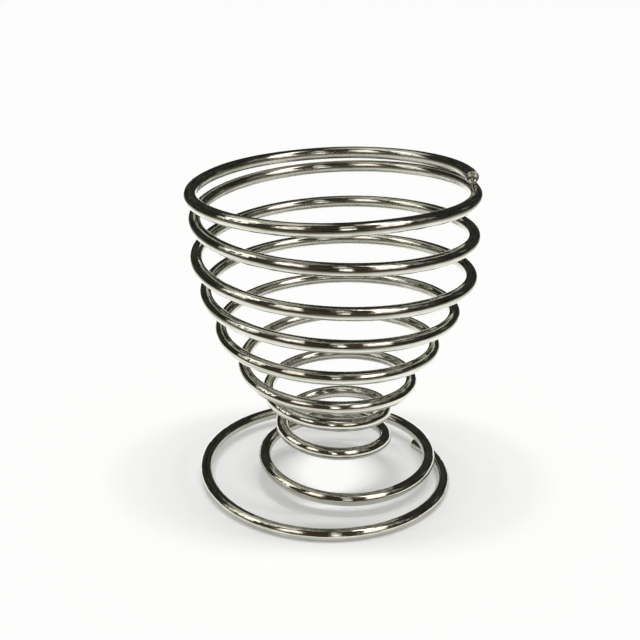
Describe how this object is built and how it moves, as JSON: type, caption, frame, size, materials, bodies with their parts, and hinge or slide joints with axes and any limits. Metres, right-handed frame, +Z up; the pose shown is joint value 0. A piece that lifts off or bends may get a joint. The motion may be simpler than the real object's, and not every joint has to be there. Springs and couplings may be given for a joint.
{
  "type": "egg cup",
  "caption": "Open spiral wire egg cup: a tapering wound cup over a narrow waist and a wide flared ring foot.",
  "frame": {"origin": "centre of the bounding box's underside, on the table plane that the foot ring stands on", "axes": "+Z up along the axis of the cup, +X towards the wire's cut end at the rim, -Y towards the viewer of the picture"},
  "size_m": [0.0497, 0.0498, 0.0568],
  "materials": {
    "wire": "bright chrome plate on steel wire",
    "weld": "plated weld bead, slightly rough"
  },
  "bodies": {
    "root": {"spiral_wire": "wire", "rim_weld": "weld", "foot_weld": "weld"}
  },
  "joints": []
}
